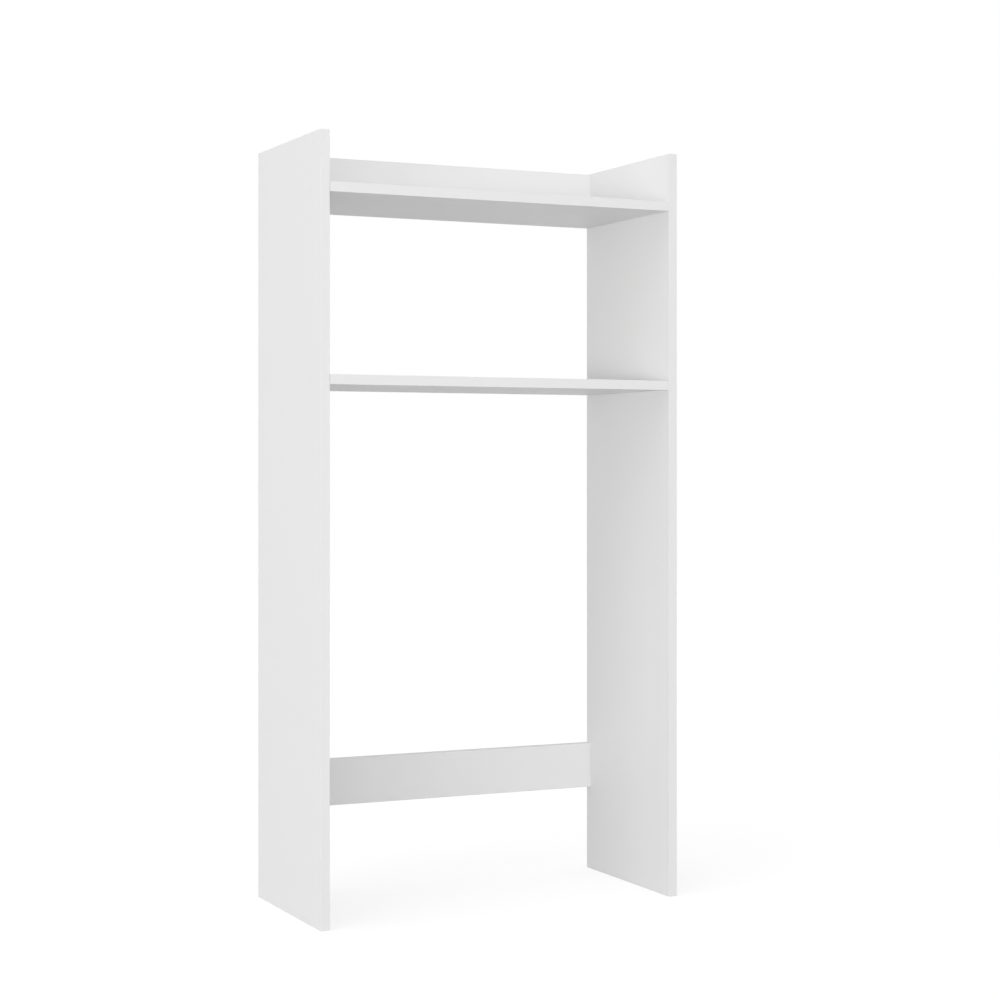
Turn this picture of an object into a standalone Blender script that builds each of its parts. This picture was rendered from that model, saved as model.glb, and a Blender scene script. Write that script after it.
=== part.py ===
"""Open cabinet of white melamine-faced boards.

Two side panels stand on the floor and carry a top shelf and a lower shelf. The bay under the lower shelf
is open to the floor. One rail stands on the top shelf at the back, and one ties the side panels low down.
Long countersunk screws go through the side panels into the ends of the shelves and rails, dowels keep the
ends in line that have a single screw, and every edge that shows wears a thin plastic band.

Units are metres. The origin is on the floor, in the middle of the cabinet: +X is to the right seen from
the front, +Y is to the back and +Z is up.
"""

import math

import bmesh
import bpy

# Cabinet
CABINET_WIDTH = 0.650
CABINET_DEPTH = 0.300
BOARD_THICKNESS = 0.016
CLEAR_HEIGHT = 0.866  # from the floor to the underside of the lower shelf
BAY_HEIGHT = 0.290  # between the two shelves
SIDE_RISE = 0.082  # of the side panels above the top shelf
UPPER_RAIL_HEIGHT = 0.080
LOWER_RAIL_HEIGHT = 0.080
LOWER_RAIL_MIDDLE = 0.190  # height of its centre line above the floor

# Fits
SEAT_GAP = 0.0003  # between two boards that meet, and round everything that sits in a bore
GLUE_LINE = 0.0001  # between a board's edge and its band

# Edge bands
BAND_THICKNESS = 0.0008
BAND_EDGE_RADIUS = 0.0004
BAND_EDGE_STEPS = 2

# Connecting screws, measured from the top of the head along the axis
SCREW_LENGTH = 0.050
SCREW_HEAD_DIAMETER = 0.0094
SCREW_HEAD_RIM = 0.0010
SCREW_HEAD_CONE = 0.0020
SCREW_NECK_DIAMETER = 0.0064
SCREW_CORE_DIAMETER = 0.0044
SCREW_TIP_DIAMETER = 0.0022
SCREW_TIP_LENGTH = 0.0030
SCREW_SOCKET_WIDTH = 0.0040  # across the flats of the hexagon
SCREW_SOCKET_DEPTH = 0.0032
SCREW_TIP_CLEARANCE = 0.0015  # from the tip to the bottom of the bore
SHELF_SCREW_INSET = 0.045  # from the shelf's front edge
UPPER_RAIL_SCREW_SPACING = 0.032

# Caps over the screw heads
CAP_DIAMETER = 0.0094
CAP_THICKNESS = 0.0012
CAP_EDGE = 0.0003
CAP_SINK = 0.0003  # of the cap's face below the panel's face
CAP_STEM_LENGTH = 0.0024

# Dowels at each end that has a single screw: those of the shelves and of the lower rail
DOWEL_DIAMETER = 0.008
DOWEL_LENGTH = 0.030
DOWEL_DEPTH_IN_PANEL = 0.010
DOWEL_CHAMFER = 0.001
SHELF_DOWEL_INSET = 0.045  # from the shelf's back edge
RAIL_DOWEL_OFFSET = 0.020  # from the lower rail's screw up to its dowel

# How finely round pieces are divided, and how far a cutter runs past what it cuts
SCREW_SIDES = 16
BORE_SIDES = 24
HEXAGON_SIDES = 6
SMOOTH_ANGLE = math.radians(35)
OVERRUN = 0.001
WELD_DISTANCE = 0.00001

# Places worked out from the sizes above
HALF_WIDTH = CABINET_WIDTH / 2
HALF_DEPTH = CABINET_DEPTH / 2
HALF_BOARD = BOARD_THICKNESS / 2
INNER_HALF_WIDTH = HALF_WIDTH - BOARD_THICKNESS
CROSS_HALF_LENGTH = INNER_HALF_WIDTH - SEAT_GAP
BANDED_EDGE = BAND_THICKNESS + GLUE_LINE
LOWER_SHELF_TOP = CLEAR_HEIGHT + BOARD_THICKNESS
TOP_SHELF_TOP = LOWER_SHELF_TOP + BAY_HEIGHT + BOARD_THICKNESS
CABINET_HEIGHT = TOP_SHELF_TOP + SIDE_RISE
UPPER_RAIL_BOTTOM = TOP_SHELF_TOP + SEAT_GAP
UPPER_RAIL_TOP = UPPER_RAIL_BOTTOM + UPPER_RAIL_HEIGHT
UPPER_RAIL_MIDDLE = UPPER_RAIL_BOTTOM + UPPER_RAIL_HEIGHT / 2
LOWER_RAIL_BOTTOM = LOWER_RAIL_MIDDLE - LOWER_RAIL_HEIGHT / 2
LOWER_RAIL_TOP = LOWER_RAIL_MIDDLE + LOWER_RAIL_HEIGHT / 2
RAIL_FRONT = HALF_DEPTH - BOARD_THICKNESS
RAIL_AXIS = HALF_DEPTH - HALF_BOARD
HEAD_SINK = CAP_SINK + CAP_THICKNESS + SEAT_GAP  # of the screw head below the panel's face

SIDES = {"left": -1, "right": 1}


def screw_places():
    """Each screw's name, the board that it holds, and its place in depth and height."""
    depth = SHELF_SCREW_INSET - HALF_DEPTH
    half_spacing = UPPER_RAIL_SCREW_SPACING / 2
    return [
        ("top_shelf_front", "top_shelf", depth, TOP_SHELF_TOP - HALF_BOARD),
        ("lower_shelf_front", "lower_shelf", depth, LOWER_SHELF_TOP - HALF_BOARD),
        ("upper_rail_high", "upper_back_rail", RAIL_AXIS, UPPER_RAIL_MIDDLE + half_spacing),
        ("upper_rail_low", "upper_back_rail", RAIL_AXIS, UPPER_RAIL_MIDDLE - half_spacing),
        ("lower_rail", "lower_back_rail", RAIL_AXIS, LOWER_RAIL_MIDDLE),
    ]


def dowel_places():
    """Each dowel's name, the board that it keeps in line, and its place in depth and height."""
    depth = HALF_DEPTH - SHELF_DOWEL_INSET
    return [
        ("top_shelf", "top_shelf", depth, TOP_SHELF_TOP - HALF_BOARD),
        ("lower_shelf", "lower_shelf", depth, LOWER_SHELF_TOP - HALF_BOARD),
        ("lower_rail", "lower_back_rail", RAIL_AXIS, LOWER_RAIL_MIDDLE + RAIL_DOWEL_OFFSET),
    ]


def clear_scene():
    for item in list(bpy.data.objects):
        bpy.data.objects.remove(item)


def add_collection(name, parent=None):
    collection = bpy.data.collections.new(name)
    (parent or bpy.context.scene.collection).children.link(collection)
    return collection


def plain_material(name, colour, roughness, metallic=0.0):
    material = bpy.data.materials.new(name)
    material.use_nodes = True
    shader = material.node_tree.nodes["Principled BSDF"]
    shader.inputs["Base Color"].default_value = (*colour, 1.0)
    shader.inputs["Roughness"].default_value = roughness
    shader.inputs["Metallic"].default_value = metallic
    return material


def add_object(name, mesh, collection, material=None):
    item = bpy.data.objects.new(name, mesh)
    collection.objects.link(item)
    if material and not mesh.materials:
        mesh.materials.append(material)
    return item


def box_between(name, low, high, collection, material):
    """A box from its lowest to its highest corner, with its origin in the middle."""
    form = bmesh.new()
    bmesh.ops.create_cube(form, size=1)
    bmesh.ops.scale(form, vec=[b - a for a, b in zip(low, high)], verts=form.verts)
    mesh = bpy.data.meshes.new(name)
    form.to_mesh(mesh)
    form.free()
    item = add_object(name, mesh, collection, material)
    item.location = [(a + b) / 2 for a, b in zip(low, high)]
    return item


def turned(name, outline, sides, collection):
    """A solid turned about Z from (radius, height) points that run down from the axis to the axis."""
    mesh = bpy.data.meshes.new(name)
    points = [(radius, 0, height) for radius, height in outline]
    mesh.from_pydata(points, [(i, i + 1) for i in range(len(points) - 1)], [])
    item = add_object(name, mesh, collection)
    spin = item.modifiers.new("turn", "SCREW")
    spin.steps = sides
    spin.render_steps = sides
    spin.use_merge_vertices = True
    spin.merge_threshold = WELD_DISTANCE
    spin.use_smooth_shade = True
    return item


def hexagon(name, across_flats, top, bottom, collection):
    """A six-sided prism on the Z axis."""
    form = bmesh.new()
    radius = across_flats / math.sqrt(3)
    bmesh.ops.create_cone(
        form, cap_ends=True, segments=HEXAGON_SIDES, radius1=radius, radius2=radius, depth=top - bottom
    )
    bmesh.ops.translate(form, vec=(0, 0, (top + bottom) / 2), verts=form.verts)
    mesh = bpy.data.meshes.new(name)
    form.to_mesh(mesh)
    form.free()
    return add_object(name, mesh, collection)


def hide_helper(item):
    item.hide_render = True
    item.display_type = "WIRE"


def combine(item, other, operation):
    joint = item.modifiers.new(f"{operation.lower()} {other.name}", "BOOLEAN")
    joint.operation = operation
    joint.object = other


def finished_mesh(item, material):
    """The item's mesh with its modifiers applied, shaded smooth between its sharp edges."""
    graph = bpy.context.evaluated_depsgraph_get()
    mesh = bpy.data.meshes.new_from_object(item.evaluated_get(graph))
    mesh.shade_smooth()
    mesh.set_sharp_from_angle(angle=SMOOTH_ANGLE)
    mesh.materials.clear()
    mesh.materials.append(material)
    return mesh


def screw_mesh(helpers, material):
    """Countersunk head with a hexagon socket, plain neck, slimmer core and a blunt tip, hanging down Z."""
    cone_end = SCREW_HEAD_RIM + SCREW_HEAD_CONE
    neck_end = BOARD_THICKNESS - HEAD_SINK
    tip_start = SCREW_LENGTH - SCREW_TIP_LENGTH
    outline = [
        (0, 0),
        (SCREW_HEAD_DIAMETER / 2, 0),
        (SCREW_HEAD_DIAMETER / 2, -SCREW_HEAD_RIM),
        (SCREW_NECK_DIAMETER / 2, -cone_end),
        (SCREW_NECK_DIAMETER / 2, -neck_end),
        (SCREW_CORE_DIAMETER / 2, -neck_end),
        (SCREW_CORE_DIAMETER / 2, -tip_start),
        (SCREW_TIP_DIAMETER / 2, -SCREW_LENGTH),
        (0, -SCREW_LENGTH),
    ]
    screw = turned("screw_blank", outline, SCREW_SIDES, helpers)
    socket = hexagon("screw_socket", SCREW_SOCKET_WIDTH, OVERRUN, -SCREW_SOCKET_DEPTH, helpers)
    combine(screw, socket, "DIFFERENCE")
    hide_helper(screw)
    hide_helper(socket)
    return finished_mesh(screw, material)


def cap_mesh(helpers, material):
    """A thin disc with an eased rim, on a hexagon stem that plugs into the screw's socket."""
    radius = CAP_DIAMETER / 2
    outline = [
        (0, 0),
        (radius - CAP_EDGE, 0),
        (radius, -CAP_EDGE),
        (radius, -CAP_THICKNESS),
        (0, -CAP_THICKNESS),
    ]
    cap = turned("cap_blank", outline, BORE_SIDES, helpers)
    stem_end = CAP_THICKNESS + CAP_STEM_LENGTH
    stem_width = SCREW_SOCKET_WIDTH - 2 * SEAT_GAP
    stem = hexagon("cap_stem", stem_width, -CAP_THICKNESS / 2, -stem_end, helpers)
    combine(cap, stem, "UNION")
    hide_helper(cap)
    hide_helper(stem)
    return finished_mesh(cap, material)


def bore_mesh(helpers, material):
    """What the stepped drill takes away, from the panel's face at Z zero down into the board behind it."""
    counterbore = CAP_DIAMETER / 2 + SEAT_GAP
    cone_start = HEAD_SINK + SCREW_HEAD_RIM
    cone_end = cone_start + SCREW_HEAD_CONE
    clearance = SCREW_NECK_DIAMETER / 2 + SEAT_GAP
    pilot = SCREW_CORE_DIAMETER / 2 + SEAT_GAP
    pilot_start = BOARD_THICKNESS + SEAT_GAP / 2
    bottom = HEAD_SINK + SCREW_LENGTH + SCREW_TIP_CLEARANCE
    outline = [
        (0, OVERRUN),
        (counterbore, OVERRUN),
        (counterbore, -cone_start),
        (clearance, -cone_end),
        (clearance, -pilot_start),
        (pilot, -pilot_start),
        (pilot, -bottom),
        (0, -bottom),
    ]
    bore = turned("stepped_bore", outline, BORE_SIDES, helpers)
    hide_helper(bore)
    return finished_mesh(bore, material)


def dowel_mesh(helpers, material, diameter, length, chamfer):
    """A round peg with chamfered ends, centred on Z."""
    radius = diameter / 2
    outline = [
        (0, length / 2),
        (radius - chamfer, length / 2),
        (radius, length / 2 - chamfer),
        (radius, chamfer - length / 2),
        (radius - chamfer, -length / 2),
        (0, -length / 2),
    ]
    dowel = turned("dowel_blank", outline, SCREW_SIDES, helpers)
    hide_helper(dowel)
    return finished_mesh(dowel, material)


def face_into_side(item, side, x, y, z):
    """Places a piece made along Z so that its lower end points from that side into the cabinet."""
    item.rotation_euler = (0, side * math.pi / 2, 0)
    item.location = (x, y, z)


def add_side_panel(name, side, parts, material):
    """The board of one side panel, short of the finished size by its four bands."""
    inner, outer = sorted((side * INNER_HALF_WIDTH, side * HALF_WIDTH))
    low = (inner, BANDED_EDGE - HALF_DEPTH, BANDED_EDGE)
    high = (outer, HALF_DEPTH - BANDED_EDGE, CABINET_HEIGHT - BANDED_EDGE)
    return box_between(name, low, high, parts, material)


def add_shelf(name, top, parts, material):
    """A shelf's board, short of the cabinet's depth by its front and back bands."""
    low = (-CROSS_HALF_LENGTH, BANDED_EDGE - HALF_DEPTH, top - BOARD_THICKNESS)
    high = (CROSS_HALF_LENGTH, HALF_DEPTH - BANDED_EDGE, top)
    return box_between(name, low, high, parts, material)


def add_rail(name, bottom, top, parts, material):
    """A rail's board on edge at the back, between the side panels."""
    low = (-CROSS_HALF_LENGTH, RAIL_FRONT, bottom)
    high = (CROSS_HALF_LENGTH, HALF_DEPTH, top)
    return box_between(name, low, high, parts, material)


def add_band(name, low, high, axis, outward, closed_ends, parts, material):
    """A strip on a board's edge. Its outer face looks along axis (0, 1 or 2 for X, Y or Z), and that
    face's long edges are eased, with its short ones too where the strip's ends show."""
    band = box_between(name, low, high, parts, material)
    form = bmesh.new()
    form.from_mesh(band.data)
    weights = form.edges.layers.float.new("bevel_weight_edge")
    size = [b - a for a, b in zip(low, high)]
    long_axis = size.index(max(size))
    for edge in form.edges:
        start, end = (vertex.co for vertex in edge.verts)
        on_outer_face = start[axis] * outward > 0 and end[axis] * outward > 0
        runs_long = abs(end[long_axis] - start[long_axis]) > size[long_axis] / 2
        if on_outer_face and (runs_long or not closed_ends):
            edge[weights] = 1.0
    form.to_mesh(band.data)
    form.free()
    ease = band.modifiers.new("eased edges", "BEVEL")
    ease.width = BAND_EDGE_RADIUS
    ease.segments = BAND_EDGE_STEPS
    ease.limit_method = "WEIGHT"
    return band


def add_side_bands(prefix, side, parts, material):
    """Bands on a side panel: front and back run the full height and cover the ends of top and bottom."""
    inner, outer = sorted((side * INNER_HALF_WIDTH, side * HALF_WIDTH))
    for edge, outward in (("front", -1), ("back", 1)):
        face = outward * HALF_DEPTH
        root = outward * (HALF_DEPTH - BAND_THICKNESS)
        near, far = sorted((face, root))
        low, high = (inner, near, 0), (outer, far, CABINET_HEIGHT)
        add_band(f"{prefix}_{edge}_band", low, high, 1, outward, False, parts, material)
    reach = HALF_DEPTH - BANDED_EDGE
    top_low = (inner, -reach, CABINET_HEIGHT - BAND_THICKNESS)
    add_band(f"{prefix}_top_band", top_low, (outer, reach, CABINET_HEIGHT), 2, 1, True, parts, material)
    bottom_high = (outer, reach, BAND_THICKNESS)
    add_band(f"{prefix}_bottom_band", (inner, -reach, 0), bottom_high, 2, -1, True, parts, material)


def add_shelf_bands(name, top, parts, material):
    """Bands on a shelf's front and back edges, between the side panels."""
    for edge, outward in (("front", -1), ("back", 1)):
        near, far = sorted((outward * HALF_DEPTH, outward * (HALF_DEPTH - BAND_THICKNESS)))
        low = (-CROSS_HALF_LENGTH, near, top - BOARD_THICKNESS)
        high = (CROSS_HALF_LENGTH, far, top)
        add_band(f"{name}_{edge}_band", low, high, 1, outward, True, parts, material)


def add_rail_band(name, edge_height, outward, parts, material):
    """A band on the long edge of a rail whose finished edge is at that height."""
    bottom, top = sorted((edge_height, edge_height - outward * BAND_THICKNESS))
    low, high = (-CROSS_HALF_LENGTH, RAIL_FRONT, bottom), (CROSS_HALF_LENGTH, HALF_DEPTH, top)
    add_band(name, low, high, 2, outward, True, parts, material)


def add_boards(parts, material):
    boards = {f"{name}_side_panel": add_side_panel(f"{name}_side_panel", side, parts, material)
              for name, side in SIDES.items()}
    for name, top in (("top_shelf", TOP_SHELF_TOP), ("lower_shelf", LOWER_SHELF_TOP)):
        boards[name] = add_shelf(name, top, parts, material)
    boards["upper_back_rail"] = add_rail(
        "upper_back_rail", UPPER_RAIL_BOTTOM, UPPER_RAIL_TOP - BANDED_EDGE, parts, material
    )
    boards["lower_back_rail"] = add_rail(
        "lower_back_rail", LOWER_RAIL_BOTTOM + BANDED_EDGE, LOWER_RAIL_TOP - BANDED_EDGE, parts, material
    )
    return boards


def add_bands(parts, material):
    for name, side in SIDES.items():
        add_side_bands(f"{name}_side", side, parts, material)
    add_shelf_bands("top_shelf", TOP_SHELF_TOP, parts, material)
    add_shelf_bands("lower_shelf", LOWER_SHELF_TOP, parts, material)
    add_rail_band("upper_rail_top_band", UPPER_RAIL_TOP, 1, parts, material)
    add_rail_band("lower_rail_top_band", LOWER_RAIL_TOP, 1, parts, material)
    add_rail_band("lower_rail_bottom_band", LOWER_RAIL_BOTTOM, -1, parts, material)


def add_bore(name, mesh, collections):
    """A cutter for the two boards that meet there, in the collection of each board's bores."""
    bore = add_object(name, mesh, collections[0])
    collections[1].objects.link(bore)
    hide_helper(bore)
    return bore


def cut_bores(board, bores):
    cut = board.modifiers.new("bores", "BOOLEAN")
    cut.operation = "DIFFERENCE"
    cut.operand_type = "COLLECTION"
    cut.collection = bores


def add_screw(name, side, place, meshes, parts, bores):
    """One screw and its cap, and the stepped bore that both boards get for them."""
    face = side * HALF_WIDTH
    screw = add_object(f"screw_{name}", meshes["screw"], parts)
    face_into_side(screw, side, face - side * HEAD_SINK, *place)
    cap = add_object(f"cap_{name}", meshes["cap"], parts)
    face_into_side(cap, side, face - side * CAP_SINK, *place)
    bore = add_bore(f"screw_bore_{name}", meshes["bore"], bores)
    face_into_side(bore, side, face, *place)


def add_dowel(name, side, place, meshes, parts, bores):
    """One dowel between a side panel and a board's end, and the bore that both boards get for it."""
    middle = side * (INNER_HALF_WIDTH + DOWEL_DEPTH_IN_PANEL - DOWEL_LENGTH / 2)
    dowel = add_object(f"dowel_{name}", meshes["dowel"], parts)
    face_into_side(dowel, side, middle, *place)
    bore = add_bore(f"dowel_bore_{name}", meshes["dowel_bore"], bores)
    face_into_side(bore, side, middle, *place)


def main():
    clear_scene()
    parts = add_collection("washing_machine_cabinet")
    cutters = add_collection("cutters")

    board_white = plain_material("white_melamine", (0.83, 0.83, 0.84), 0.45)
    band_white = plain_material("white_edge_band", (0.82, 0.81, 0.82), 0.40)
    cap_white = plain_material("white_cap", (0.80, 0.80, 0.81), 0.35)
    zinc = plain_material("zinc_plated_steel", (0.62, 0.63, 0.65), 0.30, metallic=1.0)
    beech = plain_material("beech", (0.66, 0.48, 0.30), 0.70)

    boards = add_boards(parts, board_white)
    add_bands(parts, band_white)

    bore_width = DOWEL_DIAMETER + 2 * SEAT_GAP
    bore_length = DOWEL_LENGTH + 2 * SEAT_GAP
    meshes = {
        "screw": screw_mesh(cutters, zinc),
        "cap": cap_mesh(cutters, cap_white),
        "bore": bore_mesh(cutters, board_white),
        "dowel": dowel_mesh(cutters, beech, DOWEL_DIAMETER, DOWEL_LENGTH, DOWEL_CHAMFER),
        "dowel_bore": dowel_mesh(cutters, board_white, bore_width, bore_length, DOWEL_CHAMFER),
    }
    bores = {name: add_collection(f"{name}_bores", cutters) for name in boards}
    for side_name, side in SIDES.items():
        panel = f"{side_name}_side_panel"
        for name, board, *place in screw_places():
            add_screw(f"{side_name}_{name}", side, place, meshes, parts, (bores[panel], bores[board]))
        for name, board, *place in dowel_places():
            add_dowel(f"{side_name}_{name}", side, place, meshes, parts, (bores[panel], bores[board]))
    for name, board in boards.items():
        cut_bores(board, bores[name])


main()
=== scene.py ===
"""Looks of an open cabinet of white melamine-faced boards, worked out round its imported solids.

The boards keep their solids and get a melamine skin over a chip core. The edge bands, connecting screws,
cover caps and dowels are new surfaces, each worked out on a grid of points at the place of the solid it
stands for. Units are metres: +X is to the right seen from the front, +Y is to the back and +Z is up.
"""

import math

import bmesh
import bpy
import numpy as np
from bpy.props import FloatProperty, FloatVectorProperty, IntProperty, PointerProperty
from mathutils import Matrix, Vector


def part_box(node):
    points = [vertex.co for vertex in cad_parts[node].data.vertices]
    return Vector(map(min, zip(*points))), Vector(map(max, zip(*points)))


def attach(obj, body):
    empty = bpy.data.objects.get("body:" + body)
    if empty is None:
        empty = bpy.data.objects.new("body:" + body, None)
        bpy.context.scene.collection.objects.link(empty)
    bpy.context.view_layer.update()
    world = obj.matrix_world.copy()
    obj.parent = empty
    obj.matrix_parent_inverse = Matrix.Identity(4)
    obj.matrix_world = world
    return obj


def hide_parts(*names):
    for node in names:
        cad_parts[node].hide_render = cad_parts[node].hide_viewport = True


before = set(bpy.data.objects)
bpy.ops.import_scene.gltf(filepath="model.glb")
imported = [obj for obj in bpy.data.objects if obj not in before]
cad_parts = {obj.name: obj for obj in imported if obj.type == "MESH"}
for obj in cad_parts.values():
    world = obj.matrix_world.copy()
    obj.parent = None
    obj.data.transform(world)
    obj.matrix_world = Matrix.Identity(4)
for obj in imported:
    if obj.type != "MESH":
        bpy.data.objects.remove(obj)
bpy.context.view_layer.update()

bl_info = {
    "name": "White Board Cabinet",
    "version": (1, 0, 0),
    "blender": (4, 5, 0),
    "location": "View3D > Sidebar > Cabinet",
    "description": "Finishes an open board cabinet: boards, edge bands, screws, caps, dowels and studio",
    "category": "Object",
}

BODY = "root"

# Nodes of the frame, with each board under the start of its bands' names
BOARDS = {
    "left_side": "left_side_panel",
    "right_side": "right_side_panel",
    "top_shelf": "top_shelf",
    "lower_shelf": "lower_shelf",
    "upper_rail": "upper_back_rail",
    "lower_rail": "lower_back_rail",
}
BANDS = sorted(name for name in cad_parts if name.endswith("_band"))
SCREWS = sorted(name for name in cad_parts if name.startswith("screw_"))
CAPS = sorted(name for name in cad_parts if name.startswith("cap_"))
DOWELS = sorted(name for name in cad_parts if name.startswith("dowel_"))

# How finely the surfaces are divided
EASE_STEPS = 6  # round a quarter circle
QUARTER = np.linspace(0, math.pi / 2, EASE_STEPS + 1)
FITTING_COLUMNS = 48  # round a screw or a cap, a multiple of the hexagon's twelve half sides
COLUMNS_PER_FLUTE = 8
CAP_FACE_RINGS = 12
CAP_FACE_SHARES = (0.1, 0.95)  # of the face's radius, for the innermost and the outermost ring
STRIP_STATION_SPACING = 0.040
DOWEL_STATION_SPACING = 0.004
WELD_DISTANCE = 0.000002
SHARP_ANGLE = math.radians(28)

# One turn of the thread, in five rows: root, flank's foot, crest, crest and flank's foot
THREAD_PLACE_SHARES = np.array((0.0, 0.36, 0.48, 0.52, 0.64))  # of the pitch
THREAD_HEIGHT_SHARES = np.array((0.0, 0.0, 1.0, 1.0, 0.0))

# Each fitting is driven home at an angle of its own, which a screw shares with its cap
GOLDEN_ANGLE = math.pi * (3 - math.sqrt(5))

# A band's glue attribute is one up to the glue line and has faded out a little past it
GLUE_END_SHARE = 1.2  # of the glue line, where the attribute has faded out
GLUE_SHARE = 0.75  # of the attribute, above which the glue shows

# Noise patterns: the scale is how many waves go to a metre, the detail how many finer layers lie on them
CLOUDS = {"scale": 7.0, "detail": 3.0}
MOTTLE = {"scale": 260.0, "detail": 2.0}
GRIT = {"scale": 2600.0, "detail": 2.0}
CHIP_WARP = {"scale": 700.0, "detail": 2.0}
WOOD_DUST = {"scale": 3000.0, "detail": 3.0, "roughness": 0.65}
FLOOR_SPECKLE = {"scale": 40.0, "detail": 2.0}
COARSE_LINES = {"detail": 2.0}
FINE_LINES = {"detail": 3.0, "roughness": 0.6}

# How many lines go to a metre across each drawn or grown finish
BAND_LINES = {"Coarse": 300.0, "Fine": 1500.0}
WIRE_LINES = {"Coarse": 900.0, "Fine": 4200.0}
GRAIN_LINES = {"Coarse": 700.0, "Fine": 3800.0}

# How many cells go to a metre
PEARL_SCALE = 900.0
CHIP_SCALE = 1000.0
FLECK_SCALE = 1500.0

# How far a place is stretched before a pattern is laid on it, where less than one draws the pattern out
LINE_STRETCH = (0.025, 1.0, 1.0)
FLECK_STRETCH = (0.2, 1.0, 1.0)
CHIP_STRETCH = 0.45  # along the board
CHIP_THROUGH_STRETCH = 1.3
CHIP_WARP_REACH = 0.0016  # how far at most noise moves a place, after its stretch

# Share of the second pattern where two are mixed
MOTTLE_SHARE = 0.4
GRIT_SHARE = 0.35
DUST_SHARE = 0.4
FINE_TONE_SHARE = 0.45
FINE_HEIGHT_SHARE = 0.75
BAND_SATIN_SHARE = 0.5
WIRE_LINE_SHARE = 0.4

# Distances from the middle of a cell, in cells: where a chip's dark rim starts and is full, and where a
# fleck of the beech starts to pale and ends
CHIP_RIM = (0.62, 0.9)
FLECK_RIM = (0.12, 0.3)
FLECK_DARKNESS = 0.8

# Roughness, from a finish's smoothest places to its dullest
BOARD_ROUGHNESS = (0.48, 0.58)
CORE_ROUGHNESS = 0.9
BAND_ROUGHNESS = (0.30, 0.42)
SCRAPED_ROUGHNESS = (0.42, 0.60)
CAP_ROUGHNESS = (0.32, 0.46)
ZINC_ROUGHNESS = (0.18, 0.42)
BEECH_ROUGHNESS = (0.55, 0.80)

# How far a pattern's height of one stands out
BOARD_RELIEF = 0.0004
PAPER_RELIEF_SHARE = 0.14  # of the board's relief
BAND_RELIEF = 0.00006
CAP_RELIEF = 0.00004
ZINC_RELIEF = 0.00002
BEECH_RELIEF = 0.00008

# Sockets of the Mix node that share their names with others
MIX_COLOUR_A = 6
MIX_COLOUR_B = 7
MIX_COLOUR_RESULT = 2
NODE_SPACING = 180

# Where the lamps stand, in degrees: azimuth runs from the front to the right
KEY_LAMP_AZIMUTH = -65
KEY_LAMP_ELEVATION = 50
KEY_LAMP_BREADTH = 40
SOFTBOX_AZIMUTHS = {
    "left_softbox": -60,
    "front_softbox": -15,
}

# Floor and background
WHITE = (1.0, 1.0, 1.0)
SPECKLE_SHARE = 0.985  # of the floor's colour, for its darkest specks


class CabinetFinish(bpy.types.PropertyGroup):
    """Colours of the boards, bands, caps and fittings, and the depth of the boards' paper."""

    melamine: FloatVectorProperty(
        name="Melamine",
        description="White of the boards' faces",
        subtype="COLOR",
        default=(0.83, 0.83, 0.83),
    )
    melamine_shade: FloatVectorProperty(
        name="Melamine shade",
        description="White of the faint clouds in the boards' faces",
        subtype="COLOR",
        default=(0.815, 0.815, 0.812),
    )
    band: FloatVectorProperty(
        name="Edge band",
        description="White of the plastic bands",
        subtype="COLOR",
        default=(0.815, 0.81, 0.81),
    )
    band_shade: FloatVectorProperty(
        name="Edge band lines",
        description="White of the faint lines along the bands",
        subtype="COLOR",
        default=(0.79, 0.782, 0.784),
    )
    glue: FloatVectorProperty(
        name="Glue",
        description="Colour of the glue between a band and its board",
        subtype="COLOR",
        default=(0.66, 0.64, 0.59),
    )
    cap: FloatVectorProperty(
        name="Cover cap",
        description="White of the cover caps",
        subtype="COLOR",
        default=(0.81, 0.81, 0.812),
    )
    cap_shade: FloatVectorProperty(
        name="Cover cap shade",
        description="White of the faint clouds in the cover caps",
        subtype="COLOR",
        default=(0.785, 0.785, 0.79),
    )
    paper_thickness: FloatProperty(
        name="Paper thickness",
        description="Depth of the melamine paper on each face of a board",
        unit="LENGTH",
        precision=5,
        default=0.00015,
    )
    light_chip: FloatVectorProperty(
        name="Light chip",
        description="Colour of the core's pale chips",
        subtype="COLOR",
        default=(0.60, 0.44, 0.27),
    )
    dark_chip: FloatVectorProperty(
        name="Dark chip",
        description="Colour of the core's dark chips",
        subtype="COLOR",
        default=(0.30, 0.185, 0.10),
    )
    zinc: FloatVectorProperty(
        name="Zinc",
        description="Colour of the plating",
        subtype="COLOR",
        default=(0.66, 0.67, 0.69),
    )
    zinc_shade: FloatVectorProperty(
        name="Zinc shade",
        description="Colour of the plating's duller spots",
        subtype="COLOR",
        default=(0.52, 0.53, 0.54),
    )
    beech: FloatVectorProperty(
        name="Beech",
        description="Colour of the early wood",
        subtype="COLOR",
        default=(0.66, 0.47, 0.29),
    )
    beech_grain: FloatVectorProperty(
        name="Beech grain",
        description="Colour of the late wood",
        subtype="COLOR",
        default=(0.49, 0.31, 0.17),
    )


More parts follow.
